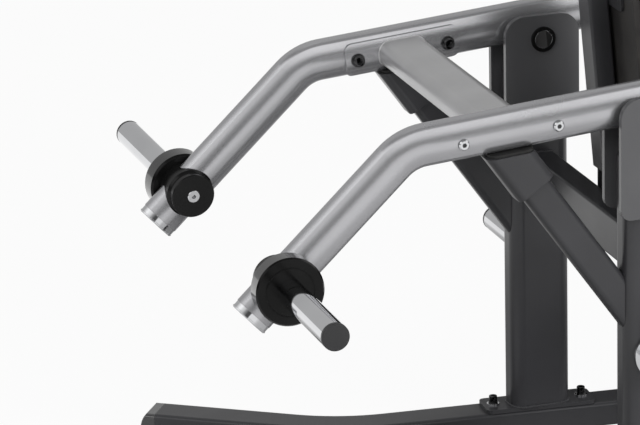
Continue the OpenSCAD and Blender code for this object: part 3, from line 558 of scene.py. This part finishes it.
# beads at an even pitch along a line, each a little wider or narrower by a fixed seed
def makeBeadTree(values):
    tree = newTree("beadsAlongLine", ["Pitch", "Length", "Width", "Unevenness"])
    given = geometryNode(tree, "NodeGroupInput").outputs
    spots = geometryNode(tree, "GeometryNodeCurveToPoints", {"mode": "LENGTH"}, {
        "Curve": given["Line"], "Length": given["Pitch"]})
    ball = geometryNode(tree, "GeometryNodeMeshUVSphere", {}, values["ball"])
    low = geometryNode(tree, "ShaderNodeMath", {"operation": "SUBTRACT"}, {0: 1.0, 1: given["Unevenness"]})
    high = geometryNode(tree, "ShaderNodeMath", {"operation": "ADD"}, {0: 1.0, 1: given["Unevenness"]})
    chance = geometryNode(tree, "FunctionNodeRandomValue", {"data_type": "FLOAT"}, {
        "Min": low.outputs[0], "Max": high.outputs[0], "Seed": values["seed"]})
    across = geometryNode(tree, "ShaderNodeMath", {"operation": "MULTIPLY"}, {
        0: given["Width"], 1: chance.outputs[1]})
    size = geometryNode(tree, "ShaderNodeCombineXYZ", {}, {
        "X": across.outputs[0], "Y": across.outputs[0], "Z": given["Length"]})
    placed = geometryNode(tree, "GeometryNodeInstanceOnPoints", {}, {
        "Points": spots.outputs["Points"], "Instance": ball.outputs["Mesh"],
        "Rotation": spots.outputs["Rotation"], "Scale": size.outputs[0]})
    endTree(tree, given, placed)
    return tree


# rings round a straight line, as on a ribbed grip
def makeRingTree(values):
    tree = newTree("ringsAlongLine", ["Pitch", "Ring radius", "Rib radius"])
    given = geometryNode(tree, "NodeGroupInput").outputs
    spots = geometryNode(tree, "GeometryNodeCurveToPoints", {"mode": "LENGTH"}, {
        "Curve": given["Line"], "Length": given["Pitch"]})
    ring = geometryNode(tree, "GeometryNodeCurvePrimitiveCircle", {"mode": "RADIUS"}, {
        "Resolution": values["ringSteps"], "Radius": given["Ring radius"]})
    rib = geometryNode(tree, "GeometryNodeCurvePrimitiveCircle", {"mode": "RADIUS"}, {
        "Resolution": values["ribSteps"], "Radius": given["Rib radius"]})
    tube = geometryNode(tree, "GeometryNodeCurveToMesh", {}, {
        "Curve": ring.outputs["Curve"], "Profile Curve": rib.outputs["Curve"]})
    placed = geometryNode(tree, "GeometryNodeInstanceOnPoints", {}, {
        "Points": spots.outputs["Points"], "Instance": tube.outputs["Mesh"],
        "Rotation": spots.outputs["Rotation"]})
    endTree(tree, given, placed)
    return tree


# runs a tree on lines and returns its result as one plain mesh
def runTree(name, tree, lines, values):
    keys = {item.name: item.identifier for item in tree.interface.items_tree if item.in_out == "INPUT"}
    meshes = []
    for number, (points, closed) in enumerate(lines):
        line = makeLine(f"{name}Line{number}", points, closed)
        modifier = line.modifiers.new("repeat", "NODES")
        modifier.node_group = tree
        for label, value in values.items():
            modifier[keys[label]] = value
        line.update_tag()
        bpy.context.view_layer.update()
        view = bpy.context.evaluated_depsgraph_get()
        meshes.append(bpy.data.meshes.new_from_object(line.evaluated_get(view), depsgraph=view))
        bpy.data.objects.remove(line)
    return joinMeshes(name, meshes)


beadTree = makeBeadTree(repeatValues)
ringTree = makeRingTree(repeatValues)


# weld seams
weldValues = {
    "bead": {"Pitch": 0.0034, "Length": 0.0062, "Width": 0.0070, "Unevenness": 0.10},
    "postHalf": (0.060, 0.035),
    "postCorner": 0.025,
    "postSteps": 8,
    "tieHalf": (0.025, 0.040),
    "tieCorner": 0.006,
    "tieSteps": 3,
    "stemHalf": 0.0255,
    "stemCorner": 0.003,
    "stemSteps": 2,
}


# rectangle with rounded corners, each of them in so many steps
def roundedOutline(centre, across, along, half, corner, steps):
    points = []
    for quarter, (i, j) in enumerate(((1, 1), (-1, 1), (-1, -1), (1, -1))):
        for step in range(steps + 1):
            angle = math.radians(90 * quarter + 90 * step / steps)
            a = i * (half[0] - corner) + corner * math.cos(angle)
            b = j * (half[1] - corner) + corner * math.sin(angle)
            points.append(Vector(centre) + Vector(across) * a + Vector(along) * b)
    return points


def makeWelds(values):
    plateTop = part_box("foot_plate_left")[1].z
    tieLow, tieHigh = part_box("tie_tube")
    tieMiddle = (tieLow + tieHigh) / 2
    postLines, tieLines = [], []
    for side in (1, -1):
        postLow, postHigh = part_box("post_left" if side > 0 else "post_right")
        foot = Vector(((postLow.x + postHigh.x) / 2, (postLow.y + postHigh.y) / 2, plateTop))
        postLines.append((roundedOutline(
            foot, (1, 0, 0), (0, 1, 0), values["postHalf"], values["postCorner"],
            values["postSteps"]), True))
        end = Vector((tieMiddle.x, tieHigh.y * side, tieMiddle.z))
        tieLines.append((roundedOutline(
            end, (1, 0, 0), (0, 0, 1), values["tieHalf"], values["tieCorner"],
            values["tieSteps"]), True))
    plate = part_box("seat_plate")
    stem = Vector(((plate[0].x + plate[1].x) / 2, 0, plate[0].z))
    stemLines = [(roundedOutline(
        stem, (1, 0, 0), (0, 1, 0), (values["stemHalf"],) * 2, values["stemCorner"],
        values["stemSteps"]), True)]
    for name, lines, body in (
            ("postWelds", postLines, "frame"), ("tieWelds", tieLines, "frame"),
            ("stemWeld", stemLines, "seat")):
        mesh = runTree(name, beadTree, lines, {**values["bead"], "Finish": materials["frameBlack"]})
        piece = addObject(name, mesh)
        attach(piece, body)


makeWelds(weldValues)
print("weld seams laid")


# small fillets at the crossbeam's ends
flareValues = {
    "lean": 4.6,  # degrees
    "armHeight": 0.86,  # of the arms' centre line over the pivot, from the floor
    "along": 0.279,  # of the beam's middle, back along that line
    "below": 0.007,  # of the beam's middle, under that line
    "half": (0.0475, 0.025),  # of the beam's section
    "corner": 0.022,
    "cornerSteps": 10,
    "armY": 0.295,  # of an arm's middle plane
    "plateRadius": 0.06733,  # of the saddle plate's bulging side
    "plateCentre": 0.03733,  # of that bulge, from the arm's centre
    "reach": 0.003,  # of the fillet on both surfaces
    "steps": 8,
    "bite": 0.0006,  # how far the inner edge lies in the beam
    "intoPlate": 0.003,
    "sink": 0.00018,  # how far the fillet lies in both surfaces
    "smooth": 50,  # degrees, as for all pieces below
}


# distance from the beam's outline and from the plate, round the fillet's own section
def flareProfile(values):
    profile = [(-values["bite"], -values["intoPlate"])]
    for step in range(values["steps"] + 1):
        angle = math.pi / 2 * step / values["steps"]
        profile.append((
            values["reach"] * (1 - math.cos(angle)) - values["sink"],
            values["reach"] * (1 - math.sin(angle)) - values["sink"]))
    return profile


# direction away from the beam at a point of its outline
def outwards(spot, half, corner):
    inner = [side - corner for side in half]
    core = [max(-reach, min(reach, value)) for value, reach in zip(spot.xy, inner)]
    return (spot - Vector((*core, 0))).normalized()


# concave fillets from the beam's outline onto the bulging saddle plates
def makeFlares(values):
    lean = math.radians(values["lean"])
    axis = Vector((math.cos(lean), 0, math.sin(lean)))
    up = Vector((-math.sin(lean), 0, math.cos(lean)))
    centre = Vector((0, 0, values["armHeight"])) - axis * values["along"] - up * values["below"]
    half, corner = values["half"], values["corner"]
    outline = roundedOutline((0, 0, 0), (1, 0, 0), (0, 1, 0), half, corner, values["cornerSteps"])
    profile = flareProfile(values)
    around, count = len(outline), len(profile)
    points, faces = [], []
    for side in (1, -1):
        first = len(points)
        for spot in outline:
            out = outwards(spot, half, corner)
            for away, inward in profile:
                flat = spot + out * away
                bulge = math.sqrt(values["plateRadius"] ** 2 - (flat.y - values["below"]) ** 2)
                y = values["armY"] - (bulge - values["plateCentre"]) - inward
                points.append(centre + axis * flat.x + up * flat.y + Vector((0, side * y, 0)))
        for i in range(around):
            here, there = first + i * count, first + (i + 1) % around * count
            for k in range(count):
                after = (k + 1) % count
                faces.append((here + k, here + after, there + after, there + k))
    flares = fromPoints("beamFlares", points, faces, materials["beamGrey"])
    smoothByAngle(flares, values["smooth"])
    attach(flares, "lever")


makeFlares(flareValues)
print("beam ends flared")


# radius of a regular hexagon in a direction
def hexRadius(angle, corner):
    return corner * math.cos(math.pi / 6) / math.cos(angle % (math.pi / 3) - math.pi / 6)


# rings of a bolt from its tail to the socket's floor: radius, depth behind the face, six-sided or round
def boltRings(values, length):
    wide = values["flangeRadius"]
    body = wide - values["step"]
    under = values["head"] - values["flange"]
    edge = values["edge"]
    rings = [
        (values["shank"], length, False), (values["shank"], values["head"], False),
        (wide, values["head"], False), (wide, under + edge, False), (wide - edge, under, False),
        (body, under, False)]
    for step in range(values["rimSteps"] + 1):
        angle = math.pi / 2 * step / values["rimSteps"]
        rings.append((
            body - values["rim"] * (1 - math.cos(angle)), values["rim"] * (1 - math.sin(angle)), False))
    return rings + [
        (values["socket"] + edge, 0, True), (values["socket"], edge, True),
        (values["socket"], values["socketDepth"], True)]


# one bolt from the middle of its face backwards
def addBolt(values, face, back, length, points, faces):
    across = back.orthogonal().normalized()
    along = back.cross(across)
    count = values["count"]
    rings = boltRings(values, length)
    first = len(points)
    for radius, depth, sixSided in rings:
        for i in range(count):
            angle = 2 * math.pi * i / count
            reach = hexRadius(angle, radius) if sixSided else radius
            points.append(face + back * depth + (across * math.cos(angle) + along * math.sin(angle)) * reach)
    bandFaces(faces, first, len(rings), count)
    endFaces(faces, first, len(rings), count)


# boxes round the separate pieces of one part, found from its own points
def clusterBoxes(name, gap):
    found = []
    for spot in (v.co for v in nodes[name].data.vertices):
        for group in found:
            if (group[0] - spot).length < gap:
                group.append(spot.copy())
                break
        else:
            found.append([spot.copy()])
    return [(Vector(map(min, *group)), Vector(map(max, *group))) for group in found]


def finishBolts(values, name, points, faces, node, body):
    bolts = fromPoints(name, points, faces, materials["blackOxide"])
    smoothByAngle(bolts, values["smooth"])
    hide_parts(node)
    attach(bolts, body)


footBolt = {
    "head": 0.0155,
    "flange": 0.0030,
    "flangeRadius": 0.0095,
    "edge": 0.0006,
    "step": 0.0014,  # how far the head stands in from its flange
    "rim": 0.0012,  # rounding of the head's rim
    "rimSteps": 4,
    "socket": 0.0046,  # from the middle to a corner
    "socketDepth": 0.007,
    "shank": 0.005,
    "length": 0.021,
    "count": 48,
    "smooth": 32,
    "apart": 0.03,  # no two bolts are nearer
}

saddleBolt = {
    "head": 0.013,  # with what lies in the plate
    "flange": 0.005,
    "flangeRadius": 0.013,
    "edge": 0.0006,
    "step": 0.002,
    "rim": 0.0024,
    "rimSteps": 5,
    "socket": 0.0056,
    "socketDepth": 0.006,
    "shank": 0.006,
    "count": 48,
    "smooth": 32,
    "apart": 0.1,  # no bolt is longer, and no two are nearer
}


def makeFootBolts(values):
    points, faces = [], []
    for low, high in clusterBoxes("foot_washers", values["apart"]):
        face = Vector(((low.x + high.x) / 2, (low.y + high.y) / 2, high.z + values["head"]))
        addBolt(values, face, Vector((0, 0, -1)), values["length"], points, faces)
    finishBolts(values, "footScrews", points, faces, "foot_bolts", "frame")


# their heads face the machine's middle
def makeSaddleBolts(values):
    points, faces = [], []
    for low, high in clusterBoxes("saddle_bolts", values["apart"]):
        side = 1 if low.y > 0 else -1
        face = Vector(((low.x + high.x) / 2, low.y if side > 0 else high.y, (low.z + high.z) / 2))
        addBolt(values, face, Vector((0, side, 0)), high.y - low.y, points, faces)
    finishBolts(values, "socketBolts", points, faces, "saddle_bolts", "lever")


makeFootBolts(footBolt)
makeSaddleBolts(saddleBolt)
print("bolts made")


# grips
gripValues = {
    "lean": 22,  # degrees below level
    "pitch": 0.0052,
    "ribRadius": 0.0014,
    "ribSink": 0.3,  # share of a rib's radius that lies in the rubber
    "edge": 0.010,  # plain rubber left at both ends
}


def makeGripRibs(values):
    lean = math.radians(values["lean"])
    along = Vector((math.cos(lean), 0, -math.sin(lean)))
    for side in ("left", "right"):
        spots = np.array([v.co for v in nodes["grip_" + side].data.vertices])
        middle = spots.mean(0)
        reach = (spots - middle) @ np.array(along)
        radius = np.linalg.norm((spots - middle) - np.outer(reach, np.array(along)), axis=1).max()
        ringRadius = float(radius) - values["ribRadius"] * values["ribSink"]
        start = Vector(middle) + along * (reach.min() + values["edge"])
        end = Vector(middle) + along * (reach.max() - values["edge"])
        mesh = runTree("gripRibs_" + side, ringTree, [([start, end], False)], {
            "Pitch": values["pitch"], "Ring radius": ringRadius, "Rib radius": values["ribRadius"],
            "Finish": materials["moulded"]})
        piece = addObject("gripRibs_" + side, mesh)
        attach(piece, "handle_" + side)


makeGripRibs(gripValues)
print("grips ribbed")


# pull knob
knobValues = {
    "length": 0.026,
    "sides": 120,
    "lobes": 10,
    "lobeDepth": 0.0012,
    # outline: distance along the knob, radius, and how much of the flutes' depth is there
    "outline": [
        (0.0, 0.006, 0), (0.0, 0.0105, 0), (0.004, 0.0115, 0), (0.008, 0.016, 0.6), (0.011, 0.017, 1),
        (0.020, 0.017, 1), (0.024, 0.0155, 0.7), (0.026, 0.013, 0.1), (0.0254, 0.010, 0), (0.025, 0.004, 0)],
    "pinRadius": 0.006,
    "pinSides": 48,
    "pinNose": 0.001,  # chamfer
    "pinHold": 0.002,  # length of the pin in the knob
    "smooth": 40,
}


# fluted knob with a dished face and its pin, both turned round the pin's own line
def makeKnob(values):
    low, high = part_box("lock_pin")
    start = high.x - values["length"]
    y, z = (low.y + high.y) / 2, (low.z + high.z) / 2
    radius, nose = values["pinRadius"], values["pinNose"]
    knobRings = [(start + along, wide, depth) for along, wide, depth in values["outline"]]
    pinRings = [(low.x, radius - nose, 0), (low.x + nose, radius, 0), (start + values["pinHold"], radius, 0)]
    points, faces = [], []
    for rings, count in ((knobRings, values["sides"]), (pinRings, values["pinSides"])):
        first = len(points)
        for x, wide, depth in rings:
            for i in range(count):
                angle = 2 * math.pi * i / count
                flute = values["lobeDepth"] * depth * (0.5 - 0.5 * math.cos(values["lobes"] * angle))
                reach = wide - flute
                points.append((x, y + reach * math.cos(angle), z + reach * math.sin(angle)))
        bandFaces(faces, first, len(rings), count)
        endFaces(faces, first, len(rings), count)
    knob = fromPoints("pullKnob", points, faces, materials["capPlastic"])
    smoothByAngle(knob, values["smooth"])
    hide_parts("lock_pin")
    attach(knob, "locking_pin")


makeKnob(knobValues)
print("pull knob made")


# cushions
cushionValues = {
    "backLean": -5,  # degrees from upright
    "inset": 0.005,  # the pad swells, so it starts this much smaller
    "crown": 0.012,
    "crownPowers": (4, 0.7),
    "squareness": 7,  # power of the outline's rounded rectangle
    "drawIn": 0.02,  # share by which the middles of its sides are drawn in
    "sides": 96,
    # the form's sides: share of the thickness, share of the full width
    "rise": [(0.0, 0.97), (0.08, 0.995), (0.3, 1.0), (0.6, 1.0), (0.85, 0.985), (1.0, 0.95)],
    "domes": [0.86, 0.72, 0.55, 0.36, 0.18],  # shares of the full width, for its crowned top
    "voxel": 0.005,
    "heldBelow": 0.001,  # height of the points that stay on the board
    "cloth": {
        "quality": 5, "mass": 0.3, "tension_stiffness": 18, "compression_stiffness": 18,
        "shear_stiffness": 8, "bending_stiffness": 2, "use_pressure": True, "uniform_pressure_force": 4.0},
    "frames": 20,
    "cap": 0.010,  # no point swells further
    "seamShare": 0.80,  # place of the sewn line, from the middle to the edge
    "seamDepth": 0.0028,
    "seamWidth": 0.0048,
    "seamAbove": 0.8,  # share of the thickness
    "seamSteps": 400,
    "stitch": {"Pitch": 0.0068, "Length": 0.0048, "Width": 0.0012, "Unevenness": 0.05},
    "piping": 0.0030,
    "pipingSides": 10,
    "pipingSteps": 300,
    "pipingHeights": [("Top", 0.93), ("Low", 0.10)],  # shares of the thickness
}


# box of a part along its own turned axes
def localBox(name, turn):
    back = np.array(turn.inverted())
    spots = np.array([v.co for v in nodes[name].data.vertices]) @ back[:3, :3].T
    return spots.min(0), spots.max(0)


# reach of the cushion's outline in a direction, as a share of its half width
def outlineRadius(angle, values):
    c, s = abs(math.cos(angle)), abs(math.sin(angle))
    power = values["squareness"]
    return (c ** power + s ** power) ** (-1 / power) * (1 - values["drawIn"] * math.cos(2 * angle) ** 2)


# closed crowned form round z = 0, its sides bulging a little
def cushionForm(name, halfX, halfY, thick, values):
    count = values["sides"]
    flat, steep = values["crownPowers"]
    rings = [(wide, height * thick) for height, wide in values["rise"]]
    rings += [(wide, thick + values["crown"] * (1 - wide ** flat) ** steep) for wide in values["domes"]]
    points, faces = [], []
    for wide, height in rings:
        for i in range(count):
            angle = 2 * math.pi * i / count
            reach = wide * outlineRadius(angle, values)
            points.append((halfX * reach * math.cos(angle), halfY * reach * math.sin(angle), height))
    points += [(0, 0, 0), (0, 0, thick + values["crown"])]
    last = (len(rings) - 1) * count
    bandFaces(faces, 0, len(rings), count)
    for i in range(count):
        faces.append(((i + 1) % count, i, len(points) - 2))
        faces.append((last + i, last + (i + 1) % count, len(points) - 1))
    return fromPoints(name, points, faces)


def readPoints(mesh):
    flat = np.zeros(len(mesh.vertices) * 3)
    mesh.vertices.foreach_get("co", flat)
    return flat.reshape(-1, 3)


def writePoints(mesh, points):
    mesh.vertices.foreach_set("co", points.ravel())
    mesh.update()


# swells the form as filled cloth, held where it lies on its board
def swellCushion(piece, values):
    remesh = piece.modifiers.new("voxels", "REMESH")
    remesh.mode = "VOXEL"
    remesh.voxel_size = values["voxel"]
    view = bpy.context.evaluated_depsgraph_get()
    piece.data = bpy.data.meshes.new_from_object(piece.evaluated_get(view), depsgraph=view)
    piece.modifiers.clear()
    before = readPoints(piece.data)
    before[before[:, 2] < values["voxel"], 2] = 0
    writePoints(piece.data, before)
    held = piece.vertex_groups.new(name="held")
    held.add([int(i) for i in np.where(before[:, 2] < values["heldBelow"])[0]], 1.0, "REPLACE")
    cloth = piece.modifiers.new("filling", "CLOTH")
    for name, value in values["cloth"].items():
        setattr(cloth.settings, name, value)
    cloth.settings.vertex_group_mass = "held"
    cloth.settings.effector_weights.gravity = 0
    cloth.collision_settings.use_collision = False
    cloth.point_cache.frame_start = 1
    cloth.point_cache.frame_end = values["frames"]
    for step in range(1, values["frames"] + 1):
        bpy.context.scene.frame_set(step)
    view = bpy.context.evaluated_depsgraph_get()
    swollen = bpy.data.meshes.new_from_object(piece.evaluated_get(view), depsgraph=view)
    moves = readPoints(swollen) - before
    reach = np.linalg.norm(moves, axis=1, keepdims=True)
    moves *= np.minimum(1, values["cap"] / np.maximum(reach, 1e-9))
    piece.modifiers.clear()
    piece.vertex_groups.clear()
    bpy.context.scene.frame_set(1)
    writePoints(piece.data, before + moves)


# presses the sewn line into the top panel
def pressSeam(piece, halfX, halfY, thick, values):
    points = readPoints(piece.data)
    angle = np.arctan2(points[:, 1] / halfY, points[:, 0] / halfX)
    edge = np.array([outlineRadius(a, values) for a in angle])
    place = np.hypot(points[:, 0] / halfX, points[:, 1] / halfY) / edge
    scale = np.hypot(halfX * np.cos(angle), halfY * np.sin(angle)) * edge
    offset = (place - values["seamShare"]) * scale
    on = points[:, 2] > thick * values["seamAbove"]
    points[:, 2] -= np.where(on, values["seamDepth"] * np.exp(-(offset / values["seamWidth"]) ** 2), 0)
    writePoints(piece.data, points)


# points where rays first meet the cushion: from above without a height, else from the sides at that height
def ringOnCushion(piece, halfX, halfY, values, wide, height, count):
    tree = BVHTree.FromPolygons(
        [v.co for v in piece.data.vertices], [p.vertices for p in piece.data.polygons])
    ring = []
    for i in range(count):
        angle = 2 * math.pi * i / count
        reach = wide * outlineRadius(angle, values)
        x, y = halfX * reach * math.cos(angle), halfY * reach * math.sin(angle)
        if height is None:
            hit = tree.ray_cast(Vector((x, y, 1)), Vector((0, 0, -1)))[0]
        else:
            hit = tree.ray_cast(Vector((2 * x, 2 * y, height)), Vector((-x, -y, 0)))[0]
        if hit:
            ring.append(hit)
    return ring


# a closed round cord along a ring of points
def makePiping(name, ring, values, finish):
    radius, count, sides = values["piping"], len(ring), values["pipingSides"]
    points, faces = [], []
    for i in range(count):
        along = (ring[(i + 1) % count] - ring[i - 1]).normalized()
        out = along.cross(Vector((0, 0, 1))).normalized()
        up = out.cross(along)
        for k in range(sides):
            angle = 2 * math.pi * k / sides
            points.append(ring[i] + out * math.cos(angle) * radius + up * math.sin(angle) * radius)
    for i in range(count):
        for k in range(sides):
            a, b = i * sides + k, i * sides + (k + 1) % sides
            c, d = (i + 1) % count * sides + (k + 1) % sides, (i + 1) % count * sides + k
            faces.append((a, b, c, d))
    piece = fromPoints(name, points, faces, finish)
    piece.data.shade_smooth()
    return piece


def makeCushion(name, node, body, turn, values):
    low, high = localBox(node, turn)
    middle = Vector(((low[0] + high[0]) / 2, (low[1] + high[1]) / 2, low[2]))
    halfX = (high[0] - low[0]) / 2 - values["inset"]
    halfY = (high[1] - low[1]) / 2 - values["inset"]
    thick = high[2] - low[2] - values["crown"] - values["inset"]
    piece = cushionForm(name, halfX, halfY, thick, values)
    swellCushion(piece, values)
    pressSeam(piece, halfX, halfY, thick, values)
    seam = ringOnCushion(piece, halfX, halfY, values, values["seamShare"], None, values["seamSteps"])
    stitches = addObject(name + "Stitches", runTree(name + "Stitches", beadTree, [(seam, True)], {
        **values["stitch"], "Finish": thread}))
    pipes = []
    for label, height in values["pipingHeights"]:
        ring = ringOnCushion(piece, halfX, halfY, values, 1.0, thick * height, values["pipingSteps"])
        pipes.append(makePiping(name + "Piping" + label, ring, values, pipingVinyl))
    piece.data.materials.append(vinyl)
    piece.data.shade_smooth()
    place = turn @ Matrix.Translation(middle)
    for part in (piece, stitches, *pipes):
        part.data.transform(place)
        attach(part, body)
    soft = piece.modifiers.new("soft", "SUBSURF")
    soft.levels = soft.render_levels = 1
    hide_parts(node)
    print("cushion made:", name, len(piece.data.vertices), "points")


backTurn = Matrix.Rotation(math.radians(cushionValues["backLean"]), 4, "Y")
backTurn = backTurn @ Matrix.Rotation(math.radians(90), 4, "Y")
makeCushion("seatPad", "seat_cushion", "seat", Matrix.Identity(4), cushionValues)
makeCushion("backPad", "back_cushion", "frame", backTurn, cushionValues)
